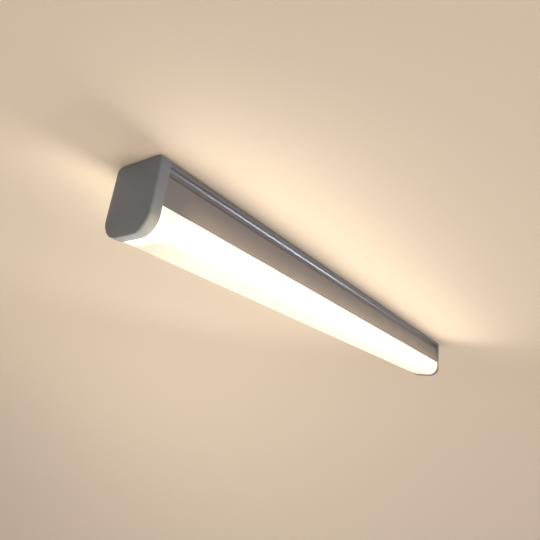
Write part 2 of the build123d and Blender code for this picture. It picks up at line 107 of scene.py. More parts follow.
class Bench:
    """Adds nodes to one node tree and joins their sockets."""

    # A Mix node has sockets for every data type. These are the numbers of those for colours.
    MIX_SHARE = 0
    MIX_FIRST = 6
    MIX_SECOND = 7
    MIX_RESULT = 2

    def __init__(self, tree: Tree) -> None:
        """Keeps the tree to build in, and empties it."""
        self.tree = tree
        tree.nodes.clear()

    def feed(self, socket: Socket, value: Feed) -> None:
        """Links a socket to the input, or sets the input to a plain value.

        Args:
            socket: the input socket.
            value: an output socket, a number, a vector or a colour.
        """
        if isinstance(value, Socket):
            self.tree.links.new(value, socket)
        elif isinstance(value, tuple) and socket.type == "RGBA":
            socket.default_value = (*value, 1.0)
        else:
            socket.default_value = value

    def add(self, kind: str, settings: dict[str, Any] | None = None, **inputs: Feed) -> bpy.types.Node:
        """Adds a node, with its settings and the inputs named.

        Args:
            kind: Blender's node type.
            settings: the node's own properties.
            inputs: input values by socket name, with _ for a space.

        Returns:
            The new node.
        """
        node = self.tree.nodes.new(kind)
        for name, value in (settings or {}).items():
            setattr(node, name, value)
        for name, value in inputs.items():
            self.feed(node.inputs[name.replace("_", " ")], value)
        return node

    def math(self, operation: str, first: Feed, second: Feed = 0.0) -> Socket:
        """Joins two numbers by one operation.

        Args:
            operation: the operation's name in Blender.
            first: the first number or socket.
            second: the second number or socket.

        Returns:
            The result's socket.
        """
        node = self.add("ShaderNodeMath", {"operation": operation})
        self.feed(node.inputs[0], first)
        self.feed(node.inputs[1], second)
        return node.outputs[0]

    def mix(self, share: Feed, first: Feed, second: Feed) -> Socket:
        """Mixes two colours.

        Args:
            share: how much of the second colour shows, from 0 to 1.
            first: the first colour or socket.
            second: the second colour or socket.

        Returns:
            The mixed colour's socket.
        """
        node = self.add("ShaderNodeMix", {"data_type": "RGBA"})
        self.feed(node.inputs[self.MIX_SHARE], share)
        self.feed(node.inputs[self.MIX_FIRST], first)
        self.feed(node.inputs[self.MIX_SECOND], second)
        return node.outputs[self.MIX_RESULT]

    def mix_shaders(self, share: Feed, first: Feed, second: Feed) -> Socket:
        """Mixes two shaders.

        Args:
            share: how much of the second shader shows, from 0 to 1.
            first: the first shader's socket.
            second: the second shader's socket.

        Returns:
            The mixed shader's socket.
        """
        node = self.add("ShaderNodeMixShader", Fac=share)
        for place, shader in enumerate((first, second), start=1):
            self.feed(node.inputs[place], shader)
        return node.outputs["Shader"]

    def noise(self, place: Feed, scale: Feed, **inputs: Feed) -> Socket:
        """Adds a noise pattern on some coordinates and gives its value's socket."""
        return self.add("ShaderNodeTexNoise", Vector=place, Scale=scale, **inputs).outputs["Fac"]

    def spread(self, value: Feed, low: float, high: float, start: float = 0.0, end: float = 1.0) -> Socket:
        """Maps a value's span to another span, smoothly and without overshoot.

        Args:
            value: the value's socket.
            low: the result at the start.
            high: the result at the end.
            start: the value where the result is low.
            end: the value where the result is high.

        Returns:
            The result's socket.
        """
        node = self.add("ShaderNodeMapRange", {"interpolation_type": "SMOOTHSTEP"}, Value=value)
        for name, number in (("From Min", start), ("From Max", end), ("To Min", low), ("To Max", high)):
            node.inputs[name].default_value = number
        return node.outputs["Result"]

    def group(self, tree: Tree, **inputs: Feed) -> bpy.types.Node:
        """Places a shared shader group, with its input values by socket name."""
        return self.add("ShaderNodeGroup", {"node_tree": tree}, **inputs)


class SharedGroup:
    """A shader group that many finishes use, built once."""

    def __init__(self, name: str, inputs: dict[str, tuple[str, Any]], outputs: Names) -> None:
        """Makes the group's sockets.

        Args:
            name: the group's name.
            inputs: socket type and default value by input name.
            outputs: the names of the outputs, all plain values.
        """
        self.tree = bpy.data.node_groups.new(name, "ShaderNodeTree")
        self.bench = Bench(self.tree)
        for label, (kind, value) in inputs.items():
            socket = self.tree.interface.new_socket(label, in_out="INPUT", socket_type=kind)
            if value is not None:
                socket.default_value = value
        for label in outputs:
            self.tree.interface.new_socket(label, in_out="OUTPUT", socket_type="NodeSocketFloat")
        self.start = self.bench.add("NodeGroupInput")
        self.end = self.bench.add("NodeGroupOutput")

    def join_grains(self, fine: Socket, coarse: Socket, coarse_share: float) -> Tree:
        """Blends two patterns into the output Tone, and sends the fine one to the output Height.

        Args:
            fine: the fine pattern.
            coarse: the coarse pattern.
            coarse_share: how much of the coarse pattern the tone takes, from 0 to 1.

        Returns:
            The group's tree.
        """
        coarse_part = self.bench.math("MULTIPLY", coarse, coarse_share)
        fine_part = self.bench.math("MULTIPLY", fine, 1 - coarse_share)
        self.bench.feed(self.end.inputs["Tone"], self.bench.math("ADD", coarse_part, fine_part))
        self.bench.feed(self.end.inputs["Height"], fine)
        return self.tree


CLOUD_SCALE = 0.03
CLOUD_SHARE = 0.6
DIE_STRETCH = (0.01, 1.0, 1.0)
BAND_SCALE = 0.15
BAND_SHARE = 0.5
SPECK_SCALE = 60.0


def moulded_grain() -> Tree:
    """Builds the fine spark-eroded grain of a moulding, with faint flow clouds.

    Returns:
        The group's tree, with outputs Tone and Height.
    """
    inputs = {"Vector": ("NodeSocketVector", None), "Scale": ("NodeSocketFloat", 1500.0)}
    group = SharedGroup(Pattern.MOULDED.value, inputs, ("Tone", "Height"))
    bench = group.bench
    place = group.start.outputs["Vector"]
    scale = group.start.outputs["Scale"]
    fine = bench.noise(place, scale, Detail=2.0, Roughness=0.6)
    clouds = bench.noise(place, bench.math("MULTIPLY", scale, CLOUD_SCALE), Detail=3.0)
    return group.join_grains(fine, clouds, CLOUD_SHARE)


def drawn_lines() -> Tree:
    """Builds the long fine lines that a die leaves along X.

    Returns:
        The group's tree, with outputs Tone and Height.
    """
    inputs = {"Vector": ("NodeSocketVector", None), "Scale": ("NodeSocketFloat", 1200.0)}
    group = SharedGroup(Pattern.DRAWN.value, inputs, ("Tone", "Height"))
    bench = group.bench
    scale = group.start.outputs["Scale"]
    pulled = bench.add("ShaderNodeMapping", Vector=group.start.outputs["Vector"], Scale=DIE_STRETCH)
    place = pulled.outputs["Vector"]
    fine = bench.noise(place, scale, Detail=3.0, Roughness=0.65)
    bands = bench.noise(place, bench.math("MULTIPLY", scale, BAND_SCALE), Detail=2.0)
    return group.join_grains(fine, bands, BAND_SHARE)


def handling_marks() -> Tree:
    """Builds the soft patches that hands and settled dust leave.

    Returns:
        The group's tree, with outputs Smudge and Dust.
    """
    inputs = {"Vector": ("NodeSocketVector", None), "Patch": ("NodeSocketFloat", 45.0)}
    group = SharedGroup("handling_marks", inputs, ("Smudge", "Dust"))
    bench = group.bench
    place = group.start.outputs["Vector"]
    patch = group.start.outputs["Patch"]
    cloud = bench.noise(place, patch, Detail=4.0, Distortion=0.4)
    speck = bench.noise(place, bench.math("MULTIPLY", patch, SPECK_SCALE), Detail=1.0)
    grains = bench.spread(speck, low=0.0, high=1.0, start=0.6, end=0.78)
    settled = bench.spread(cloud, low=0.2, high=1.0, start=0.4, end=0.7)
    smudge = bench.spread(cloud, low=0.0, high=1.0, start=0.35, end=0.65)
    bench.feed(group.end.inputs["Smudge"], smudge)
    bench.feed(group.end.inputs["Dust"], bench.math("MULTIPLY", grains, settled))
    return group.tree


@dataclass(frozen=True)
class Glow:
    """Light that a finish gives out, fading towards the two ends and the upper edge of a long piece.

    Attributes:
        colour: the colour along the middle.
        end_colour: the colour at the two ends and the upper edge.
        strength: the emission strength.
        half_length: the place of the ends along X.
        fade: how far from an end the fade reaches.
        top: the height of the upper edge.
        top_fade: how far below the upper edge the fade reaches.
    """

    colour: Colour
    end_colour: Colour
    strength: float
    half_length: float
    fade: float
    top: float = 1.0
    top_fade: float = 0.01


@dataclass(frozen=True)
class Finish:
    """One surface finish: a colour, a gloss and a shared pattern at its own scale.

    Attributes:
        colour: the base colour.
        roughness: the middle roughness.
        metallic: 1 for bare metal.
        pattern: which shared pattern it carries.
        grain: the pattern's scale, per metre.
        depth: the pattern's height.
        tint: how far the pattern lightens and darkens the colour.
        smudge: how far handling changes the roughness.
        dust: how much of the dust specks shows.
        coat: the weight of a clear coat.
        glow: the light that it gives out, if any.
    """

    colour: Colour
    roughness: float
    metallic: float = 0.0
    pattern: Pattern = Pattern.MOULDED
    grain: float = 1500.0
    depth: float = 0.00002
    tint: float = 0.05
    smudge: float = 0.06
    dust: float = 0.0
    coat: float = 0.0
    glow: Glow | None = None

    def shade(self, factor: float) -> Colour:
        """Gives the colour lightened or darkened by a factor, with no part above 1."""
        red, green, blue = (min(1.0, part * factor) for part in self.colour)
        return red, green, blue


PHOSPHOR_LIGHT: Colour = (1.0, 0.80, 0.45)
PHOSPHOR_GLOW = Glow(PHOSPHOR_LIGHT, PHOSPHOR_LIGHT, strength=2.0, half_length=0.3, fade=0.01)
COVER_GLOW = Glow(
    (0.58, 0.53, 0.34), (0.34, 0.26, 0.12),
    strength=1.0, half_length=0.2927, fade=0.06, top=-0.0285, top_fade=0.009,
)


def moulded(colour: Colour) -> Finish:
    """Gives the finish of a glossy small moulding in a plain colour."""
    return Finish(colour, 0.34, grain=2200.0, depth=0.000015, tint=0.06)


def insulation(colour: Colour) -> Finish:
    """Gives the finish of extruded wire insulation in a plain colour."""
    return Finish(colour, 0.40, pattern=Pattern.DRAWN, grain=1600.0, depth=0.000008, tint=0.06)


FINISHES: dict[str, Finish] = {
    "aluminium": Finish(
        (0.176, 0.172, 0.192), 0.37, 0.50, Pattern.DRAWN,
        grain=1100.0, depth=0.000003, tint=0.04, smudge=0.02, dust=0.03,
    ),
    "opal": Finish((0.80, 0.79, 0.77), 0.38, grain=500.0, depth=0.000006, tint=0.02, glow=COVER_GLOW),
    "cap_plastic": Finish(
        (0.144, 0.161, 0.190), 0.40, grain=2600.0, depth=0.000018, tint=0.06, smudge=0.05, dust=0.10
    ),
    "silicone": Finish((0.52, 0.52, 0.50), 0.72, grain=1800.0, depth=0.00003, tint=0.07, dust=0.15),
    "gland_rubber": Finish((0.028, 0.028, 0.028), 0.78, grain=1700.0, depth=0.00004, tint=0.12, dust=0.2),
    "gland_plastic": Finish((0.175, 0.175, 0.18), 0.42, grain=2200.0, depth=0.00002, tint=0.06),
    "spring_steel": Finish(
        (0.56, 0.56, 0.57), 0.34, 1.0, Pattern.DRAWN, grain=3000.0, depth=0.00001, tint=0.10, smudge=0.10
    ),
    "led_board": Finish((0.86, 0.86, 0.84), 0.36, grain=900.0, depth=0.00001, tint=0.03),
    "led_package": Finish((0.84, 0.83, 0.80), 0.40, grain=3000.0, depth=0.00001, tint=0.03),
    "phosphor": Finish((0.86, 0.62, 0.10), 0.50, grain=2600.0, depth=0.00001, glow=PHOSPHOR_GLOW),
    "white_plastic": Finish((0.76, 0.76, 0.73), 0.48, grain=1900.0, depth=0.000018, tint=0.03),
    "circuit_board": Finish((0.035, 0.16, 0.055), 0.32, grain=700.0, depth=0.000015, tint=0.18, coat=0.2),
    "ferrite": Finish((0.030, 0.030, 0.034), 0.60, grain=2600.0, depth=0.00003, tint=0.14),
    "winding_tape": Finish(
        (0.74, 0.48, 0.05), 0.28, pattern=Pattern.DRAWN, grain=1500.0, depth=0.00002, tint=0.10
    ),
    "can_sleeve": Finish((0.020, 0.024, 0.040), 0.26, grain=900.0, depth=0.00001, tint=0.10, coat=0.3),
    "copper": Finish(
        (0.66, 0.27, 0.10), 0.30, 1.0, grain=3000.0, depth=0.000008, tint=0.08, smudge=0.08, coat=0.4
    ),
    "chip_epoxy": Finish((0.020, 0.020, 0.020), 0.55, grain=3400.0, depth=0.00002, tint=0.12),
    "fuse_glass": Finish((0.58, 0.57, 0.52), 0.30, grain=2000.0, depth=0.00001, tint=0.05),
    "terminal_body": Finish((0.62, 0.62, 0.59), 0.44, grain=2000.0, depth=0.00002, tint=0.04),
    "brass": Finish(
        (0.72, 0.52, 0.22), 0.30, 1.0, Pattern.DRAWN, grain=2600.0, depth=0.00001, tint=0.08, smudge=0.10
    ),
    "zinc_steel": Finish(
        (0.62, 0.62, 0.60), 0.36, 1.0, grain=3200.0, depth=0.00001, tint=0.08, smudge=0.10
    ),
    "button_live": moulded((0.10, 0.032, 0.012)),
    "button_neutral": moulded((0.012, 0.045, 0.22)),
    "button_earth": moulded((0.03, 0.16, 0.018)),
    "wire_brown": insulation((0.075, 0.024, 0.008)),
    "wire_blue": insulation((0.010, 0.035, 0.22)),
    "wire_green": insulation((0.04, 0.19, 0.015)),
    "wire_red": insulation((0.34, 0.012, 0.010)),
    "wire_black": insulation((0.012, 0.012, 0.012)),
}


class FinishShelf:
    """Makes each finish's material once and hands it out by slot name."""

    DUST_COLOUR: Colour = (0.55, 0.52, 0.47)
    BUMP_STRENGTH = 0.6

    def __init__(self) -> None:
        """Builds the shared groups; materials follow when they are first asked for."""
        self.patterns = {Pattern.MOULDED: moulded_grain(), Pattern.DRAWN: drawn_lines()}
        self.handling = handling_marks()
        self.made: dict[str, bpy.types.Material] = {}

    def material(self, slot: str) -> bpy.types.Material:
        """Gives the material of a slot.

        Args:
            slot: a name in FINISHES.

        Returns:
            The material, made on first use.
        """
        if slot not in self.made:
            self.made[slot] = self.build(slot, FINISHES[slot])
        return self.made[slot]

    def build(self, name: str, finish: Finish) -> bpy.types.Material:
        """Builds one finish's node tree.

        Args:
            name: the material's name.
            finish: what it looks like.

        Returns:
            The new material.
        """
        material = bpy.data.materials.new(name)
        material.use_nodes = True
        bench = Bench(material.node_tree)
        surface = bench.add("ShaderNodeBsdfPrincipled", Metallic=finish.metallic, Coat_Weight=finish.coat)
        end = bench.add("ShaderNodeOutputMaterial", Surface=surface.outputs["BSDF"])
        end.is_active_output = True
        place = bench.add("ShaderNodeTexCoord").outputs["Object"]
        pattern = bench.group(self.patterns[finish.pattern], Vector=place, Scale=finish.grain)
        marks = bench.group(self.handling, Vector=place)
        dark = finish.shade(1 - finish.tint)
        light = finish.shade(1 + finish.tint)
        toned = bench.mix(pattern.outputs["Tone"], dark, light)
        dusty = bench.math("MULTIPLY", marks.outputs["Dust"], finish.dust)
        bench.feed(surface.inputs["Base Color"], bench.mix(dusty, toned, self.DUST_COLOUR))
        smooth = finish.roughness - finish.smudge
        rough = finish.roughness + finish.smudge
        bench.feed(surface.inputs["Roughness"], bench.spread(marks.outputs["Smudge"], smooth, rough))
        bump = bench.add("ShaderNodeBump", Strength=self.BUMP_STRENGTH, Distance=finish.depth)
        bench.feed(bump.inputs["Height"], pattern.outputs["Height"])
        bench.feed(surface.inputs["Normal"], bump.outputs["Normal"])
        if finish.glow:
            self.light_up(bench, surface, place, finish.glow)
        return material

    @staticmethod
    def light_up(bench: Bench, surface: bpy.types.Node, place: Socket, glow: Glow) -> None:
        """Gives a surface its own light, dimmer towards the two ends and the upper edge.

        Args:
            bench: the material's bench.
            surface: the Principled shader.
            place: the Object coordinates.
            glow: the light's colours, strength and fade.
        """
        spot = bench.add("ShaderNodeSeparateXYZ", Vector=place).outputs
        reach = bench.math("SUBTRACT", glow.half_length, bench.math("ABSOLUTE", spot["X"]))
        below = bench.math("SUBTRACT", glow.top, spot["Z"])
        inward = bench.spread(reach, low=0.0, high=1.0, end=glow.fade)
        downward = bench.spread(below, low=0.0, high=1.0, end=glow.top_fade)
        share = bench.math("MULTIPLY", inward, downward)
        bench.feed(surface.inputs["Emission Color"], bench.mix(share, glow.end_colour, glow.colour))
        surface.inputs["Emission Strength"].default_value = glow.strength


class Workshop:
    """Turns the frame's nodes into finished pieces and logs each one."""

    MERGE_DISTANCE = 1e-6
    FLAT_ANGLE = radians(0.5)
    EDGE_STEPS = 2

    def __init__(self, frame: dict[str, Any], shelf: FinishShelf) -> None:
        """Reads which slot and which body each node has.

        Args:
            shelf: where finishes come from.
        """
        self.nodes: dict[str, bpy.types.Object] = frame["nodes"]
        self.shelf = shelf
        record = frame["record"]
        self.slots = {part["node"]: part["material_slot"] for part in record["subparts"]}
        bodies = record["behaviour"]["bodies"]
        self.bodies = {node: body for body, nodes in bodies.items() for node in nodes}

    def paint(self, *names: str) -> None:
        """Gives CAD nodes the finish of their slot.

        Args:
            names: the nodes' names.
        """
        for name in names:
            node = self.nodes[name]
            material = self.shelf.material(self.slots[name])
            for place in node.material_slots:
                place.material = material
            if not node.material_slots:
                node.data.materials.append(material)
            LOG.info("painted %s", name)

    def settle(self, piece: bpy.types.Object, node: str) -> None:
        """Puts a new piece on the body that carries a node.

        Args:
            piece: the new piece.
            node: the node that it belongs with.
        """
        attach(piece, self.bodies[node])
        LOG.info("made %s on %s, %d faces", piece.name, self.bodies[node], len(piece.data.polygons))

    def soften(self, name: str, angle: float = SOFT_ANGLE, edge: float = 0.0) -> None:
        """Replaces a node by a merged copy with smooth shading and eased edges.

        Args:
            name: the node.
            angle: the turn, in degrees, past which an edge stays crisp or is eased.
            edge: the width of the eased edge, or 0 for none.
        """
        mesh = self.nodes[name].data.copy()
        shape = bmesh.new()
        shape.from_mesh(mesh)
        bmesh.ops.remove_doubles(shape, verts=shape.verts, dist=self.MERGE_DISTANCE)
        bmesh.ops.dissolve_limit(shape, angle_limit=self.FLAT_ANGLE, verts=shape.verts, edges=shape.edges)
        shape.to_mesh(mesh)
        shape.free()
        piece = put(f"{name}_finished", mesh)
        mesh.shade_smooth()
        mesh.set_sharp_from_angle(angle=radians(angle))
        if edge:
            ease = piece.modifiers.new("eased_edges", "BEVEL")
            ease.width = edge
            ease.segments = self.EDGE_STEPS
            ease.limit_method = "ANGLE"
            ease.angle_limit = radians(angle)
            ease.harden_normals = True
            self.bake(piece)
        piece.data.materials.clear()
        piece.data.materials.append(self.shelf.material(self.slots[name]))
        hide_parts(name)
        self.settle(piece, name)

    @staticmethod
    def bake(piece: bpy.types.Object) -> None:
        """Makes a piece's evaluated shape its plain mesh and removes its modifiers.

        Args:
            piece: the piece to bake.
        """
        graph = bpy.context.evaluated_depsgraph_get()
        plain = bpy.data.meshes.new_from_object(piece.evaluated_get(graph), depsgraph=graph)
        piece.modifiers.clear()
        piece.data = plain

    def grow(self, name: str, tree: Tree, values: dict[str, Feed]) -> bpy.types.Object:
        """Runs a Geometry Nodes tree and keeps its result as a plain mesh.

        Args:
            name: the new piece's name.
            tree: the tree.
            values: the tree's inputs by name.

        Returns:
            The new piece.
        """
        piece = put(name, bpy.data.meshes.new(name))
        modifier = piece.modifiers.new(name, "NODES")
        modifier.node_group = tree
        for socket in tree.interface.items_tree:
            if socket.in_out == "INPUT" and socket.name in values:
                modifier[socket.identifier] = values[socket.name]
        self.bake(piece)
        return piece


class RepeatTree:
    """A Geometry Nodes tree with named inputs that ends in real geometry with a material."""

    KINDS = {"int": "NodeSocketInt", "float": "NodeSocketFloat", "vector": "NodeSocketVector"}

    def __init__(self, name: str, inputs: dict[str, str]) -> None:
        """Makes the tree and its sockets.

        Args:
            name: the tree's name.
            inputs: the kind of each input by name: int, float or vector.
        """
        self.tree = bpy.data.node_groups.new(name, "GeometryNodeTree")
        self.bench = Bench(self.tree)
        for label, kind in inputs.items():
            self.tree.interface.new_socket(label, in_out="INPUT", socket_type=self.KINDS[kind])
        self.tree.interface.new_socket("Material", in_out="INPUT", socket_type="NodeSocketMaterial")
        self.tree.interface.new_socket("Geometry", in_out="OUTPUT", socket_type="NodeSocketGeometry")
        self.start = self.bench.add("NodeGroupInput").outputs
        self.end = self.bench.add("NodeGroupOutput")

    def line(self, count: Feed, first: Feed, step: Feed) -> Socket:
        """Adds a straight row of points, each one step from the last, and gives their socket."""
        row = self.bench.add(
            "GeometryNodeMeshLine", {"mode": "OFFSET"}, Count=count, Start_Location=first, Offset=step
        )
        return row.outputs[0]

    def circle(self, points: Feed, radius: Feed) -> Socket:
        """Adds a round curve of some points and gives its socket."""
        curve = self.bench.add("GeometryNodeCurvePrimitiveCircle", Resolution=points, Radius=radius)
        return curve.outputs["Curve"]

    def repeat(self, points: Feed, shape: Feed, **inputs: Feed) -> Socket:
        """Stands a copy of a shape on every point and gives the copies' socket."""
        placed = self.bench.add("GeometryNodeInstanceOnPoints", Points=points, Instance=shape, **inputs)
        return placed.outputs[0]

    def close(self, geometry: Socket) -> Tree:
        """Makes the instances real, sets the material and ends the tree.

        Args:
            geometry: the instances' socket.

        Returns:
            The finished tree.
        """
        real = self.bench.add("GeometryNodeRealizeInstances", Geometry=geometry).outputs[0]
        dressed = self.bench.add("GeometryNodeSetMaterial", Geometry=real, Material=self.start["Material"])
        self.bench.feed(self.end.inputs["Geometry"], dressed.outputs[0])
        return self.tree


DISC_SIDES = 16
TURN_POINTS = 14
WIRE_SIDES = 6
RIB_SIDES = 10


def disc_row() -> Tree:
    """Builds a straight row of flat round discs.

    Returns:
        The tree.
    """
    kinds = {"Count": "int", "First": "vector", "Step": "vector", "Radius": "float", "Thickness": "float"}
    row = RepeatTree("disc_row", kinds)
    points = row.line(row.start["Count"], row.start["First"], row.start["Step"])
    disc = row.bench.add("GeometryNodeMeshCylinder", Vertices=DISC_SIDES, Radius=row.start["Radius"])
    row.bench.feed(disc.inputs["Depth"], row.start["Thickness"])
    return row.close(row.repeat(points, disc.outputs["Mesh"]))


def pad_row() -> Tree:
    """Builds a straight row of flat rectangular pads.

    Returns:
        The tree.
    """
    row = RepeatTree("pad_row", {"Count": "int", "First": "vector", "Step": "vector", "Size": "vector"})
    points = row.line(row.start["Count"], row.start["First"], row.start["Step"])
    pad = row.bench.add("GeometryNodeMeshCube", Size=row.start["Size"])
    return row.close(row.repeat(points, pad.outputs["Mesh"]))


def ring_turns() -> Tree:
    """Builds wire turns wound round a ring that lies flat.

    Returns:
        The tree.
    """
    kinds = {
        "Count": "int",
        "Centre": "vector",
        "Ring Radius": "float",
        "Turn Radius": "float",
        "Wire Radius": "float",
    }
    ring = RepeatTree("ring_turns", kinds)
    bench = ring.bench
    path = ring.circle(ring.start["Count"], ring.start["Ring Radius"])
    turn = ring.circle(TURN_POINTS, ring.start["Turn Radius"])
    wire = ring.circle(WIRE_SIDES, ring.start["Wire Radius"])
    loop = bench.add("GeometryNodeCurveToMesh", Curve=turn, Profile_Curve=wire)
    tangent = bench.add("GeometryNodeInputTangent").outputs[0]
    turned = bench.add("FunctionNodeAlignRotationToVector", {"axis": "Z"}, Vector=tangent)
    placed = ring.repeat(path, loop.outputs["Mesh"], Rotation=turned.outputs[0])
    moved = bench.add("GeometryNodeTransform", Geometry=placed, Translation=ring.start["Centre"])
    return ring.close(moved.outputs[0])


def grip_ribs() -> Tree:
    """Builds rows of half-sunk round ribs on the flats of a nut that turns about X.

    Returns:
        The tree.
    """
    kinds = {
        "Flats": "int",
        "Ribs": "int",
        "Pitch": "float",
        "Flat Distance": "float",
        "Rib Radius": "float",
        "Rib Length": "float",
        "Centre": "vector",
    }
    nut = RepeatTree("grip_ribs", kinds)
    bench = nut.bench
    span = bench.math("MULTIPLY", bench.math("SUBTRACT", nut.start["Ribs"], 1.0), nut.start["Pitch"])
    half_back = bench.math("MULTIPLY", span, -0.5)
    first = bench.add("ShaderNodeCombineXYZ", Y=half_back, Z=nut.start["Flat Distance"])
    step = bench.add("ShaderNodeCombineXYZ", Y=nut.start["Pitch"])
    row = nut.line(nut.start["Ribs"], first.outputs[0], step.outputs[0])
    rib = bench.add("GeometryNodeMeshCylinder", Vertices=RIB_SIDES, Radius=nut.start["Rib Radius"])
    bench.feed(rib.inputs["Depth"], nut.start["Rib Length"])
    lying = bench.add("GeometryNodeTransform", Geometry=rib.outputs["Mesh"], Rotation=(0.0, pi / 2, 0.0))
    flat = nut.repeat(row, lying.outputs[0])
    spots = bench.add("GeometryNodePoints", Count=nut.start["Flats"])
    share = bench.math("DIVIDE", bench.add("GeometryNodeInputIndex").outputs[0], nut.start["Flats"])
    turn = bench.add("ShaderNodeCombineXYZ", X=bench.math("MULTIPLY", share, 2 * pi))
    ring = nut.repeat(spots.outputs[0], flat, Rotation=turn.outputs[0])
    moved = bench.add("GeometryNodeTransform", Geometry=ring, Translation=nut.start["Centre"])
    return nut.close(moved.outputs[0])


@dataclass
class SubAssembly:
    """A group of nodes that are dressed alike.

    Attributes:
        plain: the nodes that only take a finish.
        soft: the nodes that become smooth pieces.
        soft_angle: the turn, in degrees, past which an edge of these pieces stays crisp or is eased.
        edge: the width of their eased edges, or 0 for none.
    """

    plain: Names = ()
    soft: Names = ()
    soft_angle: float = SOFT_ANGLE
    edge: float = 0.0

    def build(self, shop: Workshop) -> None:
        """Dresses the nodes and adds the details.

        Args:
            shop: the workshop.
        """
        shop.paint(*self.plain)
        for name in self.soft:
            shop.soften(name, self.soft_angle, self.edge)
        self.add_details(shop)

    def add_details(self, shop: Workshop) -> None:
        """Adds what the CAD leaves out, where a group has something to add."""


@dataclass
class Housing(SubAssembly):
    """The extruded aluminium profile, with the corners that the die rounds."""

    soft: Names = ("housing_extrusion",)
    soft_angle: float = 40.0
    edge: float = 0.0002


@dataclass
class Cover(SubAssembly):
    """The opal cover and its two silicone strips."""

    plain: Names = ("diffuser_seal_front", "diffuser_seal_rear")
    soft: Names = ("diffuser",)


@dataclass
class EndCaps(SubAssembly):
    """The two moulded end caps with their gaskets."""

    plain: Names = ("cap_gasket_left", "cap_gasket_right")
    soft: Names = ("end_cap_left", "end_cap_right")
    soft_angle: float = 32.0
    edge: float = 0.00045


@dataclass
class CableGland(SubAssembly):
    """The gland's nut with its grip ribs, and the rubber bush.

    Attributes:
        flats: how many flats the nut has.
        ribs: how many ribs stand on each flat.
        pitch: the distance between ribs.
        rib_radius: a rib's radius.
        rib_margin: how far a rib stays from the nut's two ends.
        sink: how far a rib's middle lies under the flat.
    """

    soft: Names = ("gland_nut",)
    soft_angle: float = 30.0
    edge: float = 0.00025
    flats: int = 6
    ribs: int = 5
    pitch: float = 0.0017
    rib_radius: float = 0.0006
    rib_margin: float = 0.0028
    sink: float = 0.0002

    def add_details(self, shop: Workshop) -> None:
        """Dresses the bush and adds the ribs.

        Args:
            shop: the workshop.
        """
        shop.soften("gland_seal")
        low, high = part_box("gland_nut")
        centre = (low + high) / 2
        flat_distance = min(high.y - low.y, high.z - low.z) / 2
        values = {
            "Flats": self.flats,
            "Ribs": self.ribs,
            "Pitch": self.pitch,
            "Flat Distance": flat_distance - self.sink,
            "Rib Radius": self.rib_radius,
            "Rib Length": high.x - low.x - 2 * self.rib_margin,
            "Centre": tuple(centre),
            "Material": shop.shelf.material("gland_plastic"),
        }
        ribs = shop.grow("gland_nut_ribs", grip_ribs(), values)
        shop.settle(ribs, "gland_nut")


@dataclass
class BackClips(SubAssembly):
    """The two spring-steel clips in the back channel."""

    soft: Names = ("mounting_clip_left", "mounting_clip_right")
    soft_angle: float = 40.0
    edge: float = 0.00012


@dataclass
class LightSource(SubAssembly):
    """The LED board, its row of LEDs and their leads.

    Attributes:
        count: how many LEDs the row has.
        pitch: the distance between them.
        window_radius: the radius of an LED's phosphor window.
        window_rise: how far a window stands out of its package.
        pad_size: a solder pad's length, width and thickness.
        pad_side: how far a pad row lies from the LED row.
    """

    plain: Names = ("led_board", "leds", "led_connector")
    soft: Names = ("led_lead_positive", "led_lead_negative")
    soft_angle: float = 50.0
    count: int = 54
    pitch: float = 0.0104
    window_radius: float = 0.00105
    window_rise: float = 0.00004
    pad_size: Point = (0.0022, 0.0014, 0.00008)
    pad_side: float = 0.0052

    def add_details(self, shop: Workshop) -> None:
        """Adds what repeats along the board.

        Args:
            shop: the workshop.
        """
        low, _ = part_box("leds")
        first_x = -(self.count - 1) * self.pitch / 2
        step = (self.pitch, 0.0, 0.0)
        values = {
            "Count": self.count,
            "First": (first_x, 0.0, low.z),
            "Step": step,
            "Radius": self.window_radius,
            "Thickness": 2 * self.window_rise,
            "Material": shop.shelf.material("phosphor"),
        }
        windows = shop.grow("led_windows", disc_row(), values)
        shop.settle(windows, "leds")
        board_low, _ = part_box("led_board")
        pads = pad_row()
        for side, label in ((-1, "front"), (1, "rear")):
            values = {
                "Count": self.count - 1,
                "First": (first_x + self.pitch / 2, side * self.pad_side, board_low.z),
                "Step": step,
                "Size": self.pad_size,
                "Material": shop.shelf.material("zinc_steel"),
            }
            row = shop.grow(f"solder_pads_{label}", pads, values)
            shop.settle(row, "led_board")


@dataclass
class Driver(SubAssembly):
    """The driver on its tray.

    Attributes:
        turns: how many turns of wire the choke shows.
        wire_radius: the choke wire's radius.
        turn_gap: the room between the choke's core and its wire.
    """

    plain: Names = ("driver_tray", "driver_board", "driver_connectors", "transformer_core", "driver_chips")
    soft: Names = ("tray_screws", "transformer_winding", "driver_capacitors", "driver_choke", "driver_fuse")
    soft_angle: float = 30.0
    turns: int = 26
    wire_radius: float = 0.00035
    turn_gap: float = 0.0001

    def add_details(self, shop: Workshop) -> None:
        """Winds the choke.

        Args:
            shop: the workshop.
        """
        low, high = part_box("driver_choke")
        centre = (low + high) / 2
        section = (high.z - low.z) / 2
        values = {
            "Count": self.turns,
            "Centre": tuple(centre),
            "Ring Radius": (high.x - low.x) / 2 - section,
            "Turn Radius": section - self.wire_radius + self.turn_gap,
            "Wire Radius": self.wire_radius,
            "Material": shop.shelf.material("copper"),
        }
        turns = shop.grow("choke_turns", ring_turns(), values)
        turns.data.shade_smooth()
        shop.settle(turns, "driver_choke")


@dataclass
class MainsEntry(SubAssembly):
    """The terminal block and its springs, the wires and the earth point."""

    plain: Names = ("terminal_block", "terminal_springs")
    soft: Names = ("earth_screw", "earth_tag", "wire_live", "wire_neutral", "wire_earth")
    soft_angle: float = 40.0


@dataclass
class TerminalButtons(SubAssembly):
    """The terminal block's three buttons."""

    soft: Names = ("terminal_button_live", "terminal_button_neutral", "terminal_button_earth")
    edge: float = 0.00015


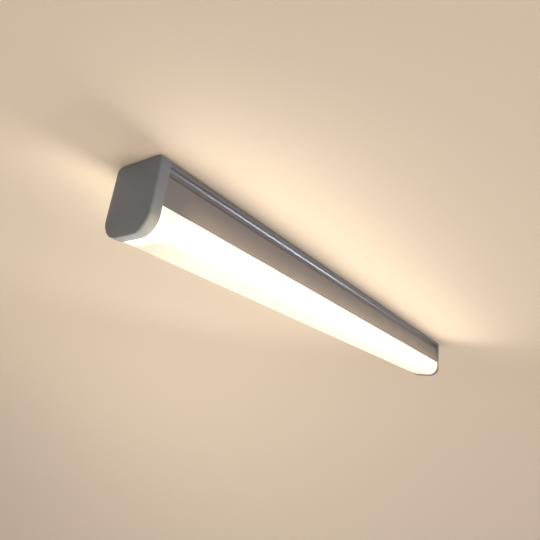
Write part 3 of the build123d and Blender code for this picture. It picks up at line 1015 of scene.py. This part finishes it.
@dataclass
class Ceiling:
    """The painted ceiling that the batten hangs on, which is stage and not part of it.

    Beyond the batten it bends down into a wide cove, so that the camera sees paint all over its picture.

    Attributes:
        away: the level direction in which the cove lies.
        flat_start: where the flat part starts along that direction.
        flat_end: where the flat part ends and the cove starts.
        cove_radius: the cove's radius.
        cove_steps: how many faces the cove has.
        drop: how far the wall under the cove goes down.
        half_width: half the ceiling's width.
        height: its place above the batten's top.
        paint: its colour.
        roughness: the paint's roughness.
        roller: the scale of the roller marks, per metre.
        roller_depth: the height of the roller marks.
        roller_strength: how strongly the roller marks bend the light, from 0 to 1.
    """

    away: tuple[float, float] = (0.796, 0.605)
    flat_start: float = -5.0
    flat_end: float = 0.45
    cove_radius: float = 1.2
    cove_steps: int = 32
    drop: float = 4.0
    half_width: float = 6.0
    height: float = 0.0003
    paint: Colour = (0.80, 0.655, 0.515)
    roughness: float = 0.9
    roller: float = 260.0
    roller_depth: float = 0.0002
    roller_strength: float = 0.15

    def build(self) -> None:
        """Builds the ceiling, which shows only from the room's side."""
        profile = [(self.flat_start, self.height)]
        for step in range(self.cove_steps + 1):
            turn = step / self.cove_steps * pi / 2
            along = self.flat_end + self.cove_radius * sin(turn)
            profile.append((along, self.height - self.cove_radius * (1 - cos(turn))))
        profile.append((profile[-1][0], profile[-1][1] - self.drop))
        away_x, away_y = self.away
        corners = []
        for along, z in profile:
            for across in (-self.half_width, self.half_width):
                x = along * away_x - across * away_y
                y = along * away_y + across * away_x
                corners.append((x, y, z))
        faces = [(2 * i, 2 * i + 1, 2 * i + 3, 2 * i + 2) for i in range(len(profile) - 1)]
        mesh = bpy.data.meshes.new("ceiling")
        mesh.from_pydata(corners, [], faces)
        mesh.shade_smooth()
        mesh.materials.append(self.material())
        ceiling = put("ceiling", mesh)

    def material(self) -> bpy.types.Material:
        """Makes the paint, which is clear from above and to the light of lamps.

        Returns:
            The ceiling's material.
        """
        material = bpy.data.materials.new("ceiling_paint")
        material.use_nodes = True
        bench = Bench(material.node_tree)
        paint = bench.add("ShaderNodeBsdfPrincipled", Base_Color=self.paint, Roughness=self.roughness)
        paint.inputs["Specular IOR Level"].default_value = 0.0
        place = bench.add("ShaderNodeTexCoord").outputs["Object"]
        marks = bench.noise(place, self.roller, Detail=3.0)
        bump = bench.add("ShaderNodeBump", Strength=self.roller_strength, Distance=self.roller_depth)
        bench.feed(bump.inputs["Height"], marks)
        bench.feed(paint.inputs["Normal"], bump.outputs["Normal"])
        ray = bench.add("ShaderNodeLightPath").outputs
        back = bench.add("ShaderNodeNewGeometry").outputs["Backfacing"]
        above = bench.math("MAXIMUM", back, ray["Transparent Depth"])
        gone = bench.math("MINIMUM", bench.math("MAXIMUM", above, ray["Is Shadow Ray"]), 1.0)
        clear = bench.add("ShaderNodeBsdfTransparent")
        mixed = bench.mix_shaders(gone, paint.outputs["BSDF"], clear.outputs["BSDF"])
        bench.add("ShaderNodeOutputMaterial", Surface=mixed)
        return material


class LampUse(Enum):
    """What a lamp is there for."""

    ROOM = "lights surfaces and shows in gloss"
    SOFT = "lights surfaces and shows in no gloss"
    CARD = "shows in gloss alone"


@dataclass(frozen=True)
class Lamp:
    """One area lamp, which the camera doesn't see.

    Attributes:
        name: the lamp's name.
        place: where it stands.
        target: what it points at.
        size: its width and height.
        power: its power in watts.
        colour: its colour.
        use: what it is there for.
        spread: how wide it shines, in degrees.
        roll: its turn about its own axis, in degrees.
    """

    name: str
    place: Point
    target: Point
    size: tuple[float, float]
    power: float
    colour: Colour
    use: LampUse = LampUse.SOFT
    spread: float = 180.0
    roll: float = 0.0

    def build(self) -> None:
        """Adds the lamp to the scene."""
        data = bpy.data.lights.new(self.name, "AREA")
        data.shape = "RECTANGLE"
        data.size, data.size_y = self.size
        data.energy = self.power
        data.color = self.colour
        data.spread = radians(self.spread)
        lamp = put(self.name, data)
        lamp.visible_camera = False
        lamp.visible_glossy = self.use is not LampUse.SOFT
        lamp.visible_diffuse = self.use is not LampUse.CARD
        aim = Vector(self.target) - Vector(self.place)
        turn = aim.to_track_quat("-Z", "Y").to_matrix().to_4x4()
        roll = Matrix.Rotation(radians(self.roll), 4, "Z")
        lamp.matrix_world = Matrix.Translation(self.place) @ turn @ roll


DAYLIGHT: Colour = (0.84, 0.92, 1.0)
NEUTRAL: Colour = (1.0, 0.99, 0.98)
WARM: Colour = (1.0, 0.98, 0.88)
PEACH: Colour = (1.0, 0.84, 0.66)
AMBER: Colour = (1.0, 0.74, 0.40)
COVER_SIDE = 0.0235
COVER_MIDDLE = -0.042
STRIP = (0.6, 0.012)
CARD_ROLL = -23.0
LAMPS = (
    # The light of the room.
    Lamp("front_key", (-0.2, -1.9, -0.9), (0.0, 0.0, -0.03), (1.4, 1.4), 20.0, NEUTRAL),
    Lamp("above_soft", (0.3, 0.5, 2.2), (0.0, 0.0, 0.0), (3.4, 3.4), 30.0, NEUTRAL, LampUse.ROOM),
    Lamp("floor_bounce", (0.2, 0.7, -0.8), (0.2, 0.7, 0.0), (0.5, 0.5), 1.5, WARM),
    Lamp("wall_wash", (0.35, 0.27, -1.0), (1.3, 1.0, -0.6), (0.8, 0.8), 1.5, NEUTRAL),
    # The light that the cover throws on the ceiling.
    Lamp("rear_pool", (0.03, 0.28, -0.28), (0.03, 0.28, 0.0), (0.5, 0.1), 0.25, WARM),
    Lamp("front_spill", (-0.02, -COVER_SIDE, COVER_MIDDLE), (-0.02, -1.0, COVER_MIDDLE), STRIP, 0.22, WARM),
    Lamp("rear_spill", (-0.01, COVER_SIDE, COVER_MIDDLE), (-0.01, 1.0, COVER_MIDDLE), STRIP, 0.36, WARM),
    Lamp("wide_spill", (0.0, -0.085, -0.07), (0.0, -0.085, 1.0), (0.59, 0.02), 0.03, WARM),
    # The light that the cover throws on the profile's wall and on the near cap's side.
    Lamp(
        "wall_halo", (0.022, -0.037, -0.032), (0.022, 0.0, -0.032),
        size=(0.58, 0.003), power=0.077, colour=AMBER, spread=120.0,
    ),
    Lamp(
        "cap_halo", (-0.296, -0.04, -0.058), (-0.296, -0.018, -0.044),
        size=(0.012, 0.006), power=0.0045, colour=AMBER, spread=120.0,
    ),
    # The two cards that the groove mirrors as a bright line.
    Lamp(
        "near_card", (0.33, -0.20, -0.47), (-1.0, -0.20, -0.47),
        size=(0.20, 0.44), power=5.8, colour=DAYLIGHT, use=LampUse.CARD, spread=115.0, roll=CARD_ROLL,
    ),
    Lamp(
        "far_card", (0.33, -0.068, -0.165), (-1.0, -0.068, -0.165),
        size=(0.07, 0.21), power=0.1, colour=DAYLIGHT, use=LampUse.CARD, spread=120.0, roll=CARD_ROLL,
    ),
    # The light that comes up to the near cap's face and its lower rim.
    Lamp(
        "cap_lift", (-0.335, -0.005, -0.085), (-0.3, 0.0, -0.05),
        size=(0.03, 0.01), power=0.0012, colour=AMBER, spread=70.0,
    ),
    Lamp(
        "rim_glow", (-0.284, -0.002, -0.064), (-0.296, -0.002, -0.053),
        size=(0.036, 0.006), power=0.0085, colour=PEACH, spread=120.0,
    ),
)


@dataclass
class Room:
    """The room's own light, seen by the camera and in reflections as plain cream.

    Attributes:
        cream: the colour that the camera and the reflections see.
        floor_light: the light that comes up from the floor.
        side_light: the light from the sides and from above.
        floor_edge: the rise of a direction, from -1 to 0, below which all light is the floor's.
    """

    cream: Colour = (0.62, 0.495, 0.375)
    floor_light: Colour = (0.555, 0.555, 0.555)
    side_light: Colour = (0.30, 0.32, 0.345)
    floor_edge: float = -0.8

    def build(self) -> None:
        """Builds the world."""
        world = bpy.data.worlds.new("room")
        world.use_nodes = True
        bench = Bench(world.node_tree)
        direction = bench.add("ShaderNodeTexCoord").outputs["Generated"]
        rise = bench.add("ShaderNodeSeparateXYZ", Vector=direction).outputs["Z"]
        share = bench.spread(rise, low=0.0, high=1.0, start=self.floor_edge, end=0.0)
        light = bench.add("ShaderNodeBackground", Color=bench.mix(share, self.floor_light, self.side_light))
        shown = bench.add("ShaderNodeBackground", Color=self.cream)
        ray = bench.add("ShaderNodeLightPath").outputs
        mirrored = bench.math("MAXIMUM", ray["Is Glossy Ray"], ray["Is Transmission Ray"])
        seen = bench.math("MAXIMUM", ray["Is Camera Ray"], mirrored)
        mixed = bench.mix_shaders(seen, light.outputs[0], shown.outputs[0])
        bench.add("ShaderNodeOutputWorld", Surface=mixed)
        bpy.context.scene.world = world


@dataclass
class Viewpoint:
    """The photographer's camera, below the ceiling and in front of the near cap.

    Attributes:
        place: where it stands.
        right: the direction of the picture's right side.
        up: the direction of the picture's top.
        lens: the focal length in millimetres.
        sensor: the sensor's width in millimetres.
        nearest: the distance at which it starts to see.
        farthest: the distance at which it stops.
    """

    place: Point = (-0.45290, -0.23324, -0.14794)
    right: Point = (0.56886, -0.81342, 0.12142)
    up: Point = (-0.32041, -0.08322, 0.94362)
    lens: float = 30.24
    sensor: float = 36.0
    nearest: float = 0.01
    farthest: float = 50.0

    def build(self) -> None:
        """Adds the camera and makes it the scene's own."""
        data = bpy.data.cameras.new("photographer")
        data.lens = self.lens
        data.sensor_width = self.sensor
        data.clip_start = self.nearest
        data.clip_end = self.farthest
        camera = put("photographer", data)
        right = Vector(self.right).normalized()
        up = Vector(self.up).normalized()
        turn = Matrix((right, up, right.cross(up))).transposed().to_4x4()
        camera.matrix_world = Matrix.Translation(self.place) @ turn
        bpy.context.scene.camera = camera


@dataclass
class Studio:
    """Everything round the batten.

    Attributes:
        ceiling: the ceiling.
        room: the room's own light.
        viewpoint: the camera.
        lamps: the lamps.
    """

    ceiling: Ceiling = field(default_factory=Ceiling)
    room: Room = field(default_factory=Room)
    viewpoint: Viewpoint = field(default_factory=Viewpoint)
    lamps: tuple[Lamp, ...] = LAMPS

    def build(self) -> None:
        """Sets up the studio and the plain view transform."""
        self.ceiling.build()
        self.room.build()
        for lamp in self.lamps:
            lamp.build()
        self.viewpoint.build()
        bpy.context.scene.view_settings.view_transform = "Standard"


def main() -> None:
    """Loads the frame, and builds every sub-assembly and the studio."""
    logging.basicConfig(level=logging.INFO, format="%(name)s: %(message)s")
    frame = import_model()
    shop = Workshop(frame, FinishShelf())
    parts = (
        Housing(),
        Cover(),
        EndCaps(),
        CableGland(),
        BackClips(),
        LightSource(),
        Driver(),
        MainsEntry(),
        TerminalButtons(),
    )
    for part in parts:
        part.build(shop)
        LOG.info("%s is done", type(part).__name__)
    Studio().build()


if __name__ == "__main__":
    main()
